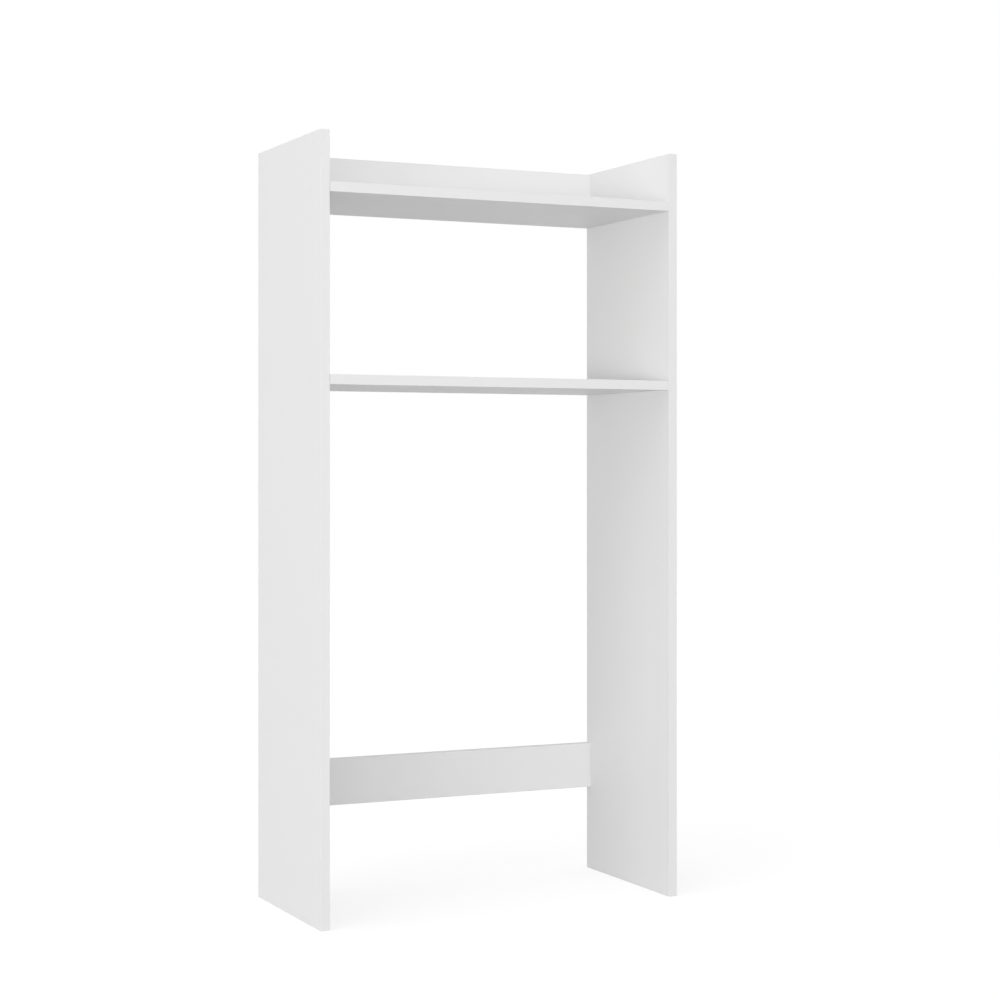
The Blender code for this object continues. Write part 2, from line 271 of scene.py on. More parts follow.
class CabinetFittings(bpy.types.PropertyGroup):
    """Sizes of the bands, screws, caps and dowels that the frame's boxes don't give."""

    band_ease: FloatProperty(
        name="Band rounding",
        description="Radius of an edge band's outer edges",
        unit="LENGTH",
        precision=5,
        default=0.0004,
    )
    glue_line: FloatProperty(
        name="Glue line",
        description="Thickness of the glue between a band and its board",
        unit="LENGTH",
        precision=5,
        default=0.0001,
    )
    head_rim: FloatProperty(
        name="Head rim", description="Depth of the screw head's straight rim", unit="LENGTH", default=0.0010
    )
    head_cone: FloatProperty(
        name="Head cone", description="Depth of the screw head's countersink", unit="LENGTH", default=0.0020
    )
    neck_diameter: FloatProperty(
        name="Neck", description="Diameter of the plain neck", unit="LENGTH", default=0.0064
    )
    neck_end: FloatProperty(
        name="Neck end", description="From the head's top to the neck's end", unit="LENGTH", default=0.0142
    )
    core_diameter: FloatProperty(
        name="Core", description="Diameter between the thread's turns", unit="LENGTH", default=0.0044
    )
    crest_diameter: FloatProperty(
        name="Crest", description="Diameter over the thread's turns", unit="LENGTH", default=0.0068
    )
    pitch: FloatProperty(
        name="Pitch", description="From one turn of the thread to the next", unit="LENGTH", default=0.0030
    )
    tip_length: FloatProperty(
        name="Tip length", description="Length of the blunt tip", unit="LENGTH", default=0.0030
    )
    tip_diameter: FloatProperty(
        name="Tip", description="Diameter of the tip's end", unit="LENGTH", default=0.0022
    )
    socket_width: FloatProperty(
        name="Socket", description="Across the flats of the hexagon socket", unit="LENGTH", default=0.0040
    )
    socket_depth: FloatProperty(
        name="Socket depth", description="Depth of the hexagon socket", unit="LENGTH", default=0.0032
    )
    metal_ease: FloatProperty(
        name="Metal rounding",
        description="Radius of the screw's turned edges",
        unit="LENGTH",
        precision=5,
        default=0.00015,
    )
    cap_ease: FloatProperty(
        name="Cap rounding",
        description="Radius of the cap's rim",
        unit="LENGTH",
        precision=5,
        default=0.00015,
    )
    cap_spread: FloatProperty(
        name="Cap spread",
        description="How far a cap's rim and face reach beyond its plain solid, to fill the recess",
        unit="LENGTH",
        precision=5,
        default=0.00023,
    )
    cap_thickness: FloatProperty(
        name="Cap thickness", description="Thickness of the cap's disc", unit="LENGTH", default=0.0012
    )
    cap_dish: FloatProperty(
        name="Cap dish",
        description="How far the cap's face sinks to its middle",
        unit="LENGTH",
        precision=5,
        default=0.0001,
    )
    stem_width: FloatProperty(
        name="Cap stem", description="Across the flats of the cap's stem", unit="LENGTH", default=0.0034
    )
    dowel_chamfer: FloatProperty(
        name="Dowel chamfer", description="Chamfer of the dowel's ends", unit="LENGTH", default=0.0010
    )
    flute_count: IntProperty(name="Flutes", description="Grooves round a dowel", default=22, min=6)
    flute_depth: FloatProperty(
        name="Flute depth",
        description="Depth of a dowel's grooves",
        unit="LENGTH",
        precision=5,
        default=0.0003,
    )


class CabinetStage(bpy.types.PropertyGroup):
    """Camera, floor and light."""

    camera_place: FloatVectorProperty(
        name="Camera place",
        description="Where the camera stands",
        subtype="TRANSLATION",
        unit="LENGTH",
        default=(-1.5217, -3.3247, 0.7367),
    )
    camera_heading: FloatProperty(
        name="Camera heading",
        description="How far the level camera is turned from straight ahead to the right",
        unit="ROTATION",
        default=math.radians(25.457),
    )
    focal_length: FloatProperty(
        name="Focal length",
        description="Of the lens, on a sensor 36 mm wide",
        unit="CAMERA",
        default=76.957,
    )
    camera_shift: FloatProperty(
        name="Upward shift",
        description="Share of the frame's width that the lens is shifted",
        default=-0.03427,
    )
    floor_width: FloatProperty(
        name="Floor width", description="Side of the square floor", unit="LENGTH", default=16.0
    )
    floor_colour: FloatVectorProperty(
        name="Floor colour",
        description="Colour in which the floor throws light back",
        subtype="COLOR",
        default=(0.57, 0.57, 0.57),
    )
    floor_lift: FloatProperty(
        name="Floor lift",
        description="Light that the floor adds for the camera and in gloss alone",
        default=0.57,
        min=0,
    )
    sky: FloatProperty(
        name="Sky", description="Strength of the light from all round", default=0.73, min=0
    )
    key_lamp: FloatProperty(
        name="Key lamp", description="Strength of the broad lamp high on the left", default=0.27, min=0
    )
    left_softbox: FloatProperty(
        name="Left softbox", description="Strength of the softbox on the left", default=0.85, min=0
    )
    front_softbox: FloatProperty(
        name="Front softbox", description="Strength of the softbox in front", default=0.77, min=0
    )
    softbox_width: FloatProperty(
        name="Softbox width", description="Width of each softbox", unit="LENGTH", default=6.0
    )
    softbox_height: FloatProperty(
        name="Softbox height",
        description="Height of each softbox, which stands on the floor",
        unit="LENGTH",
        default=0.8,
    )
    softbox_distance: FloatProperty(
        name="Softbox distance",
        description="From the middle of the stage to each softbox",
        unit="LENGTH",
        default=8.0,
    )


# Node trees


def set_inputs(tree, node, inputs):
    """Fills a node's inputs, by socket name or number, with links from other nodes or with plain values.

    A plain colour comes without its alpha, which is one.
    """
    for key, value in inputs.items():
        socket = node.inputs[key]
        if isinstance(value, bpy.types.NodeSocket):
            tree.links.new(value, socket)
        elif socket.type == "RGBA":
            socket.default_value = (*value, 1.0)
        else:
            socket.default_value = value


def add_node(tree, kind, inputs=None, **settings):
    """A new node with its settings and its inputs."""
    node = tree.nodes.new(kind)
    node.location = (NODE_SPACING * len(tree.nodes), 0)
    for name, value in settings.items():
        setattr(node, name, value)
    set_inputs(tree, node, inputs or {})
    return node


def add_math(tree, operation, first, second=0.0):
    return add_node(tree, "ShaderNodeMath", {0: first, 1: second}, operation=operation).outputs[0]


def add_vector_math(tree, operation, first, second):
    inputs = {0: first, 1: second}
    return add_node(tree, "ShaderNodeVectorMath", inputs, operation=operation).outputs["Vector"]


def add_colour_mix(tree, share, first, second):
    """The first colour where the share is nought, and the second where it is one."""
    inputs = {"Factor": share, MIX_COLOUR_A: first, MIX_COLOUR_B: second}
    return add_node(tree, "ShaderNodeMix", inputs, data_type="RGBA").outputs[MIX_COLOUR_RESULT]


def add_value_mix(tree, share, first, second):
    """The first value where the share is nought, and the second where it is one."""
    inputs = {"Factor": share, "A": first, "B": second}
    return add_node(tree, "ShaderNodeMix", inputs, data_type="FLOAT").outputs["Result"]


def add_range(tree, value, low, high, start=0.0, end=1.0):
    """Low where the value is start or less, high where it is end or more, and evenly spread in between."""
    inputs = {"Value": value, "From Min": start, "From Max": end, "To Min": low, "To Max": high}
    return add_node(tree, "ShaderNodeMapRange", inputs).outputs["Result"]


def add_noise(tree, vector, scale, detail, roughness=0.5):
    """The outputs of a noise pattern: Fac is one value, and Color is three that vary by themselves."""
    inputs = {"Vector": vector, "Scale": scale, "Detail": detail, "Roughness": roughness}
    return add_node(tree, "ShaderNodeTexNoise", inputs).outputs


def split_vector(tree, vector):
    return add_node(tree, "ShaderNodeSeparateXYZ", {0: vector}).outputs


def object_place(tree):
    return add_node(tree, "ShaderNodeTexCoord").outputs["Object"]


def read_attribute(tree, name):
    return add_node(tree, "ShaderNodeAttribute", attribute_name=name).outputs


def new_group(name, inputs, outputs):
    """An empty group with its named sockets, and its input and output nodes."""
    tree = bpy.data.node_groups.new(name, "ShaderNodeTree")
    for side, sockets in (("INPUT", inputs), ("OUTPUT", outputs)):
        for socket, kind in sockets.items():
            tree.interface.new_socket(name=socket, in_out=side, socket_type=f"NodeSocket{kind}")
    return tree, tree.nodes.new("NodeGroupInput").outputs, tree.nodes.new("NodeGroupOutput").inputs


def use_group(tree, build, inputs):
    """One use of a shared group, which is built the first time it is asked for."""
    name = build.__name__.replace("_", " ").title()
    group = bpy.data.node_groups.get(name) or build(name)
    return add_node(tree, "ShaderNodeGroup", inputs, node_tree=group).outputs


def satin_surface(name):
    """Clouds and the fine pearl of a pressed or moulded surface.

    The clouds mix broad and small noise. The height mixes rounded cells about a millimetre wide and finer
    noise.
    """
    tree, given, made = new_group(name, {"Place": "Vector"}, {"Cloud": "Float", "Height": "Float"})
    clouds = add_noise(tree, given["Place"], **CLOUDS)["Fac"]
    mottle = add_noise(tree, given["Place"], **MOTTLE)["Fac"]
    tree.links.new(add_value_mix(tree, MOTTLE_SHARE, clouds, mottle), made["Cloud"])
    inputs = {"Vector": given["Place"], "Scale": PEARL_SCALE, "Smoothness": 1.0}
    pearl = add_node(tree, "ShaderNodeTexVoronoi", inputs, feature="SMOOTH_F1").outputs["Distance"]
    grit = add_noise(tree, given["Place"], **GRIT)["Fac"]
    tree.links.new(add_value_mix(tree, GRIT_SHARE, pearl, grit), made["Height"])
    return tree


def board_skin(name):
    """One on a board's two faces and nought in its core: the place through the board, less its middle, is
    beyond the depth at which the paper starts."""
    inputs = {"Through": "Float", "Middle": "Float", "Paper Start": "Float"}
    tree, given, made = new_group(name, inputs, {"Mask": "Float"})
    depth = add_math(tree, "ABSOLUTE", add_math(tree, "SUBTRACT", given["Through"], given["Middle"]))
    tree.links.new(add_math(tree, "GREATER_THAN", depth, given["Paper Start"]), made["Mask"])
    return tree


def chip_core(name):
    """Pressed wood chips: cells of random tone, with fine dust in them and dark gaps at their rims.

    The place comes in stretched, so that the chips lie flat in the board. The height falls towards each
    cell's rim.
    """
    inputs = {"Place": "Vector", "Light Chip": "Color", "Dark Chip": "Color"}
    tree, given, made = new_group(name, inputs, {"Color": "Color", "Height": "Float"})
    warp = add_noise(tree, given["Place"], **CHIP_WARP)["Color"]
    shift = add_vector_math(tree, "MULTIPLY", warp, [CHIP_WARP_REACH] * 3)
    bent = add_vector_math(tree, "ADD", given["Place"], shift)
    chips = add_node(tree, "ShaderNodeTexVoronoi", {"Vector": bent, "Scale": CHIP_SCALE}).outputs
    tone = split_vector(tree, chips["Color"])["X"]
    dust = add_noise(tree, given["Place"], **WOOD_DUST)["Fac"]
    gap = add_range(tree, chips["Distance"], 0.0, 1.0, *CHIP_RIM)
    share = add_math(tree, "MAXIMUM", add_value_mix(tree, DUST_SHARE, tone, dust), gap)
    tree.links.new(add_colour_mix(tree, share, given["Light Chip"], given["Dark Chip"]), made["Color"])
    crown = add_math(tree, "SUBTRACT", 1.0, chips["Distance"])
    tree.links.new(add_value_mix(tree, DUST_SHARE, crown, dust), made["Height"])
    return tree


def drawn_lines(name):
    """Lines along X: coarse and fine noise on a place squeezed to a small share of its length along X."""
    inputs = {"Place": "Vector", "Coarse": "Float", "Fine": "Float"}
    tree, given, made = new_group(name, inputs, {"Line": "Float", "Height": "Float"})
    along = add_vector_math(tree, "MULTIPLY", given["Place"], LINE_STRETCH)
    coarse = add_noise(tree, along, given["Coarse"], **COARSE_LINES)["Fac"]
    fine = add_noise(tree, along, given["Fine"], **FINE_LINES)["Fac"]
    tree.links.new(add_value_mix(tree, FINE_TONE_SHARE, coarse, fine), made["Line"])
    tree.links.new(add_value_mix(tree, FINE_HEIGHT_SHARE, coarse, fine), made["Height"])
    return tree


# Materials


def new_material(name, metallic=0.0):
    """A material with its node tree and its shader."""
    material = bpy.data.materials.new(name)
    material.use_nodes = True
    shader = material.node_tree.nodes["Principled BSDF"]
    set_inputs(material.node_tree, shader, {"Metallic": metallic})
    return material, material.node_tree, shader


def finish_shader(tree, shader, colour, roughness, height, relief):
    """Joins colour, roughness and bump to the shader. The relief is how far a height of one stands out."""
    bump = add_node(tree, "ShaderNodeBump", {"Height": height, "Distance": relief, "Strength": 1.0})
    inputs = {"Base Color": colour, "Roughness": roughness, "Normal": bump.outputs["Normal"]}
    set_inputs(tree, shader, inputs)


def board_material(name, finish, axis, middle, half_thickness):
    """Melamine on a board's faces and chips in its core. Axis 0, 1 or 2 goes through the board."""
    material, tree, shader = new_material(f"melamine_board_{name}")
    place = object_place(tree)
    inputs = {
        "Through": split_vector(tree, place)[axis],
        "Middle": middle,
        "Paper Start": half_thickness - finish.paper_thickness,
    }
    skin = use_group(tree, board_skin, inputs)["Mask"]
    satin = use_group(tree, satin_surface, {"Place": place})
    white = add_colour_mix(tree, satin["Cloud"], finish.melamine, finish.melamine_shade)
    flatten = [CHIP_STRETCH] * 3
    flatten[axis] = CHIP_THROUGH_STRETCH
    inputs = {
        "Place": add_vector_math(tree, "MULTIPLY", place, flatten),
        "Light Chip": finish.light_chip,
        "Dark Chip": finish.dark_chip,
    }
    core = use_group(tree, chip_core, inputs)
    colour = add_colour_mix(tree, skin, core["Color"], white)
    paper_roughness = add_range(tree, satin["Cloud"], *BOARD_ROUGHNESS)
    roughness = add_value_mix(tree, skin, CORE_ROUGHNESS, paper_roughness)
    paper_height = add_math(tree, "MULTIPLY", satin["Height"], PAPER_RELIEF_SHARE)
    height = add_value_mix(tree, skin, core["Height"], paper_height)
    finish_shader(tree, shader, colour, roughness, height, BOARD_RELIEF)
    return material


def band_material(finish):
    """Plastic strip on its glue, with faint lines from the die along it, duller where its rims were scraped
    round."""
    material, tree, shader = new_material("edge_band_plastic")
    place = read_attribute(tree, "strip_place")["Vector"]
    scraped = read_attribute(tree, "scraped_rim")["Fac"]
    glued = add_math(tree, "GREATER_THAN", read_attribute(tree, "glue")["Fac"], GLUE_SHARE)
    lines = use_group(tree, drawn_lines, {"Place": place, **BAND_LINES})
    satin = use_group(tree, satin_surface, {"Place": place})
    tone = add_value_mix(tree, BAND_SATIN_SHARE, lines["Line"], satin["Cloud"])
    plastic = add_colour_mix(tree, tone, finish.band, finish.band_shade)
    colour = add_colour_mix(tree, glued, plastic, finish.glue)
    smooth = add_range(tree, tone, *BAND_ROUGHNESS)
    dull = add_range(tree, lines["Line"], *SCRAPED_ROUGHNESS)
    roughness = add_value_mix(tree, scraped, smooth, dull)
    height = add_value_mix(tree, BAND_SATIN_SHARE, lines["Height"], satin["Height"])
    finish_shader(tree, shader, colour, roughness, height, BAND_RELIEF)
    return material


def cap_material(finish):
    """Satin moulded plastic."""
    material, tree, shader = new_material("moulded_cap_plastic")
    satin = use_group(tree, satin_surface, {"Place": object_place(tree)})
    colour = add_colour_mix(tree, satin["Cloud"], finish.cap, finish.cap_shade)
    roughness = add_range(tree, satin["Cloud"], *CAP_ROUGHNESS)
    finish_shader(tree, shader, colour, roughness, satin["Height"], CAP_RELIEF)
    return material


def zinc_material(finish):
    """Bright plating over drawn wire: dull spots and faint lines along the screw."""
    material, tree, shader = new_material("bright_zinc_plating", metallic=1.0)
    place = object_place(tree)
    satin = use_group(tree, satin_surface, {"Place": place})
    lines = use_group(tree, drawn_lines, {"Place": place, **WIRE_LINES})
    tone = add_value_mix(tree, WIRE_LINE_SHARE, satin["Cloud"], lines["Line"])
    colour = add_colour_mix(tree, tone, finish.zinc, finish.zinc_shade)
    roughness = add_range(tree, tone, *ZINC_ROUGHNESS)
    finish_shader(tree, shader, colour, roughness, lines["Height"], ZINC_RELIEF)
    return material


def beech_material(finish):
    """Close straight grain along the dowel, with short darker flecks."""
    material, tree, shader = new_material("raw_beech")
    place = object_place(tree)
    lines = use_group(tree, drawn_lines, {"Place": place, **GRAIN_LINES})
    drawn_out = add_vector_math(tree, "MULTIPLY", place, FLECK_STRETCH)
    flecks = add_node(tree, "ShaderNodeTexVoronoi", {"Vector": drawn_out, "Scale": FLECK_SCALE})
    fleck = add_range(tree, flecks.outputs["Distance"], FLECK_DARKNESS, 0.0, *FLECK_RIM)
    grain = add_math(tree, "MAXIMUM", lines["Line"], fleck)
    colour = add_colour_mix(tree, grain, finish.beech, finish.beech_grain)
    roughness = add_range(tree, lines["Line"], *BEECH_ROUGHNESS)
    finish_shader(tree, shader, colour, roughness, lines["Height"], BEECH_RELIEF)
    return material


def seen_directly(tree):
    """One for rays from the camera and for those that gloss or glass sends on, and nought for light."""
    path = add_node(tree, "ShaderNodeLightPath").outputs
    gloss = add_math(tree, "MAXIMUM", path["Is Glossy Ray"], path["Is Transmission Ray"])
    return add_math(tree, "MAXIMUM", path["Is Camera Ray"], gloss)


def floor_material(stage):
    """A matt grey floor that adds white light for the camera and in gloss alone.

    What they see of it meets the white behind it, and the cabinet gets only the light that the grey throws
    back.
    """
    material, tree, shader = new_material("studio_floor")
    speckle = add_noise(tree, object_place(tree), **FLOOR_SPECKLE)["Fac"]
    shade = [SPECKLE_SHARE * channel for channel in stage.floor_colour]
    inputs = {
        "Base Color": add_colour_mix(tree, speckle, stage.floor_colour, shade),
        "Roughness": 1.0,
        "Specular IOR Level": 0.0,
        "Emission Color": WHITE,
        "Emission Strength": add_math(tree, "MULTIPLY", seen_directly(tree), stage.floor_lift),
    }
    set_inputs(tree, shader, inputs)
    return material


# Surfaces


def grid_quads(rows, columns):
    """Corner numbers of the quads between neighbours on a grid of points that is numbered row by row."""
    index = np.arange(rows * columns).reshape(rows, columns)
    corners = (index[:-1, :-1], index[:-1, 1:], index[1:, 1:], index[1:, :-1])
    return np.stack(corners, axis=-1).reshape(-1, 4)


def closed_mesh(name, grid, attributes=None):
    """A closed mesh, smooth between its sharp edges, from a grid of points whose last column lies on its
    first.

    Points that lie on each other become one, so the seam closes and a row drawn in on one point becomes a
    pole.
    """
    mesh = bpy.data.meshes.new(name)
    mesh.from_pydata(grid.reshape(-1, 3).tolist(), [], grid_quads(*grid.shape[:2]).tolist())
    for attribute, (kind, field, values) in (attributes or {}).items():
        mesh.attributes.new(attribute, kind, "POINT").data.foreach_set(field, values.ravel())
    form = bmesh.new()
    form.from_mesh(mesh)
    bmesh.ops.remove_doubles(form, verts=form.verts, dist=WELD_DISTANCE)
    bmesh.ops.recalc_face_normals(form, faces=form.faces)
    if not all(edge.is_manifold for edge in form.edges):
        raise RuntimeError(f"{name} isn't a closed surface")
    form.to_mesh(mesh)
    form.free()
    mesh.shade_smooth()
    mesh.set_sharp_from_angle(angle=SHARP_ANGLE)
    return mesh


def with_poles(rings):
    """The rings and one more row at each end, drawn in on the middle of the end ring's own box."""
    ends = rings[[0, -1]]
    poles = (ends.min(axis=1, keepdims=True) + ends.max(axis=1, keepdims=True)) / 2
    poles = np.broadcast_to(poles, ends.shape)
    return np.concatenate((poles[:1], rings, poles[1:]))


def stations_between(start, end, spacing):
    """Even places from start to end, at least two, that lie no further apart than the spacing."""
    return np.linspace(start, end, max(2, math.ceil((end - start) / spacing) + 1))


def strip_profile(width, depth, radius, glue_line):
    """A strip's section as a core point and a direction for each of its points.

    A point is its core point plus the radius times its direction. The wall rises from the seat past the
    glue line, the direction turns through a quarter circle from the wall to the outer face, and one more
    point on the face keeps the rounding from spreading over it. The other half is its mirror image.
    """
    wall = (0.0, glue_line, glue_line * GLUE_END_SHARE)
    turn = np.concatenate((np.zeros(len(wall)), QUARTER, [math.pi / 2]))
    direction = np.stack((-np.cos(turn), np.sin(turn)), axis=-1)
    core = np.tile((radius - width / 2, depth - radius), (len(turn), 1))
    core[: len(wall), 1] = wall
    core[-1, 0] += radius
    mirror = np.array((-1.0, 1.0))
    core = np.concatenate((core, core[::-1] * mirror, core[:1]))
    direction = np.concatenate((direction, direction[::-1] * mirror, direction[:1]))
    return core, direction


def strip_stations(start, end, radius, ends_show):
    """Places along a strip, and how much of the radius its section keeps there.

    At an end that shows, the direction turns on through a quarter circle: its sine moves the station out
    and its cosine draws the section in, so that the corner becomes part of a ball.
    """
    if not ends_show:
        along = stations_between(start, end, STRIP_STATION_SPACING)
        return along, np.ones_like(along)
    middle = stations_between(start + 2 * radius, end - 2 * radius, STRIP_STATION_SPACING)
    rise = radius * (1 - np.sin(QUARTER))
    along = np.concatenate((start + rise[::-1], middle, end - rise))
    keep = np.concatenate((np.cos(QUARTER[::-1]), np.ones_like(middle), np.cos(QUARTER)))
    return along, keep


def eased_strip(low, high, seat, axes, outward, fittings, ends_show):
    """A strip's points in its box, with (along, across, out) as its own three axes of the frame.

    Its section is carried along it, and its glued side reaches in to the seat on the board's edge. With the
    points come a mask of the rounded rims and one of the glue.
    """
    along_axis, across_axis, out_axis = axes
    width = high[across_axis] - low[across_axis]
    face = high[out_axis] if outward > 0 else low[out_axis]
    radius = fittings.band_ease
    core, direction = strip_profile(width, abs(face - seat), radius, fittings.glue_line)
    along, keep = strip_stations(low[along_axis], high[along_axis], radius, ends_show)
    section = core + radius * keep[:, None, None] * direction
    rings = np.empty((*section.shape[:2], 3))
    rings[..., along_axis] = along[:, None]
    rings[..., across_axis] = section[..., 0] + (low[across_axis] + high[across_axis]) / 2
    rings[..., out_axis] = section[..., 1] * outward + seat
    points = with_poles(rings)
    scraped = np.broadcast_to(np.abs(direction).min(axis=1) > 0, points.shape[:2])
    glued = np.broadcast_to(core[:, 1] <= fittings.glue_line, points.shape[:2]).copy()
    glued[[0, -1]] = False
    return points, scraped, glued


def full_circle(columns):
    """Angles of that many columns, and one more that lies on the first."""
    return np.linspace(0, 2 * math.pi, columns + 1)


def hexagon_radius(angles, across_flats):
    """Polar radius of a hexagon: half its width over the cosine of the angle to the middle of the nearest
    flat."""
    side = math.pi / 3
    return across_flats / 2 / np.cos((angles + side / 2) % side - side / 2)


def rings_round_x(stations, radii, angles):
    """Points round X: x is the station, and y and z are the radius times the angle's cosine and sine."""
    x, radius, angle = np.broadcast_arrays(stations, radii, angles)
    return np.stack((x, radius * np.cos(angle), radius * np.sin(angle)), axis=-1)


def profile_rings(rows, angles):
    """Rings from rows of (station, radius), where a radius is one number or one for each angle."""
    stations = np.array([station for station, radius in rows])[:, None]
    radii = np.array([np.broadcast_to(radius, angles.shape) for station, radius in rows])
    return rings_round_x(stations, radii, angles)


def eased_rim(station, radius, ease):
    """Rows round an outer edge that faces -X: a quarter circle from the face to the wall."""
    return [
        (station + ease * (1 - math.cos(turn)), radius - ease * (1 - math.sin(turn))) for turn in QUARTER
    ]


def screw_head_rows(fittings, head_radius, angles):
    """From the floor of the hexagon socket, out over the countersunk head and down the neck to the core."""
    hexagon = hexagon_radius(angles, fittings.socket_width)
    mouth = hexagon.max() + fittings.metal_ease
    neck = fittings.neck_diameter / 2
    cone_end = fittings.head_rim + fittings.head_cone
    step = (fittings.neck_diameter - fittings.core_diameter) / 2
    return [
        (fittings.socket_depth, hexagon / 2),
        (fittings.socket_depth, hexagon),
        (2 * fittings.metal_ease, hexagon),
        (0.0, mouth),
        (0.0, head_radius - 2 * fittings.metal_ease),
        *eased_rim(0.0, head_radius, fittings.metal_ease),
        (fittings.head_rim, head_radius),
        (cone_end, neck),
        (cone_end + fittings.metal_ease, neck),
        (fittings.neck_end - fittings.metal_ease, neck),
        (fittings.neck_end, neck - fittings.metal_ease / 2),
        (fittings.neck_end + step / 2, fittings.core_diameter / 2),
    ]


def thread_rings(fittings, start, end, angles):
    """A right-handed thread whose rows climb with the angle, so that its crest runs along them.

    A row's place along X grows by one pitch a turn, so its last point is the first of the row that stands
    for it one turn on. Its radius is the core's, plus the thread's height times the row's share times a
    fade that falls to nought at both ends of the thread.
    """
    turns = math.ceil((end - start) / fittings.pitch) + 1
    feet = start + fittings.pitch * (np.arange(turns)[:, None] + THREAD_PLACE_SHARES - 1).ravel()
    place = feet[:, None] + fittings.pitch * angles / (2 * math.pi)
    fade = np.clip(np.minimum(place - start, end - place) / fittings.pitch, 0, 1)
    height = (fittings.crest_diameter - fittings.core_diameter) / 2
    radii = fittings.core_diameter / 2 + height * fade * np.tile(THREAD_HEIGHT_SHARES, turns)[:, None]
    return rings_round_x(np.clip(place, start, end), radii, angles)


def screw_surface(fittings, length, head_radius):
    """A screw along X from its head at zero: head and neck, thread, and blunt tip, one after the other."""
    angles = full_circle(FITTING_COLUMNS)
    head = screw_head_rows(fittings, head_radius, angles)
    thread_start = head[-1][0]
    tip_start = length - fittings.tip_length
    thread = thread_rings(fittings, thread_start, tip_start, angles)
    core = fittings.core_diameter / 2
    tip = fittings.tip_diameter / 2
    tip_rows = [
        (tip_start, core),
        (length - fittings.metal_ease, tip + fittings.metal_ease / 2),
        (length, tip - fittings.metal_ease),
    ]
    rings = (profile_rings(head, angles), thread, profile_rings(tip_rows, angles))
    return with_poles(np.concatenate(rings))


def cap_surface(fittings, length, radius):
    """A cap along X: dished face just in front of zero, rounded rim, flat back and hexagon stem.

    The face's station is the dish times one less the square of the share of its radius, less the cap's
    spread.
    """
    angles = full_circle(FITTING_COLUMNS)
    radius = radius + fittings.cap_spread
    front = -fittings.cap_spread
    flat = radius - fittings.cap_ease
    shares = np.linspace(*CAP_FACE_SHARES, CAP_FACE_RINGS)
    face = [(front + fittings.cap_dish * (1 - share**2), flat * share) for share in shares]
    stem = hexagon_radius(angles, fittings.stem_width)
    back = fittings.cap_thickness
    rows = [
        *face,
        *eased_rim(front, radius, fittings.cap_ease),
        (back - fittings.cap_ease / 2, radius),
        (back, radius - fittings.cap_ease / 2),
        (back, stem + fittings.cap_ease / 2),
        (back + fittings.cap_ease / 2, stem),
        (length - fittings.cap_ease, stem),
        (length, stem - fittings.cap_ease),
    ]
    return with_poles(profile_rings(rows, angles))


def dowel_surface(fittings, length, radius):
    """A fluted dowel along X. Its radius is the smaller of two: that of the chamfered peg, and that of the
    fluted bar, which dips by a raised cosine at each flute."""
    angles = full_circle(fittings.flute_count * COLUMNS_PER_FLUTE)
    chamfer = fittings.dowel_chamfer
    ease = np.linspace(0, chamfer, EASE_STEPS)
    middle = stations_between(2 * chamfer, length - 2 * chamfer, DOWEL_STATION_SPACING)
    stations = np.concatenate((ease, middle, length - ease[::-1]))[:, None]
    inset = np.minimum(stations, length - stations)
    peg = radius - chamfer + np.minimum(inset, chamfer)
    fluted = radius - fittings.flute_depth * (1 + np.cos(fittings.flute_count * angles)) / 2
    return with_poles(rings_round_x(stations, np.minimum(peg, fluted), angles))


# Pieces in the frame


def box_corners(node):
    """Lowest and highest corner of a node as arrays."""
    low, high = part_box(node)
    return np.array(low), np.array(high)


def add_piece(name, mesh, material, node):
    """An object for the mesh, which rides on the cabinet and stands for one node."""
    mesh.materials.append(material)
    piece = bpy.data.objects.new(name, mesh)
    bpy.context.scene.collection.objects.link(piece)
    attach(piece, BODY)
    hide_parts(node)
    return piece


def pushed_in(points, node, turn):
    """Points made round X from a piece's outer end, turned about X and put where that node is.

    On the right side the piece is turned half round the upright axis, which keeps a thread right-handed.
    """
    low, high = box_corners(node)
    middle = (low + high) / 2
    inward = -math.copysign(1.0, middle[0])
    outer_end = low[0] if inward > 0 else high[0]
    x, y, z = np.moveaxis(points, -1, 0)
    turned_y = y * math.cos(turn) - z * math.sin(turn)
    turned_z = y * math.sin(turn) + z * math.cos(turn)
    places = (outer_end + inward * x, middle[1] + inward * turned_y, middle[2] + turned_z)
    return np.stack(places, axis=-1)


def add_fittings(kind, nodes, surface, material, fittings):
    """One piece for each node, with its own turn about its axis."""
    for index, node in enumerate(nodes):
        low, high = box_corners(node)
        length = high[0] - low[0]
        radius = (high[2] - low[2]) / 2
        points = pushed_in(surface(fittings, length, radius), node, GOLDEN_ANGLE * index)
        name = f"{kind}_{node}"
        add_piece(name, closed_mesh(name, points), material, node)


class CABINET_OT_finish_boards(bpy.types.Operator):
    """Give the side panels, shelves and rails their melamine skin and chip core"""

    bl_idname = "cabinet.finish_boards"
    bl_label = "Finish Boards"

    def execute(self, context):
        finish = context.scene.cabinet_finish
        for name in BOARDS.values():
            low, high = box_corners(name)
            size = high - low
            axis = int(size.argmin())
            middle = (low + high)[axis] / 2
            material = board_material(name, finish, axis, middle, size[axis] / 2)
            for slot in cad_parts[name].material_slots:
                slot.material = material
        return {"FINISHED"}


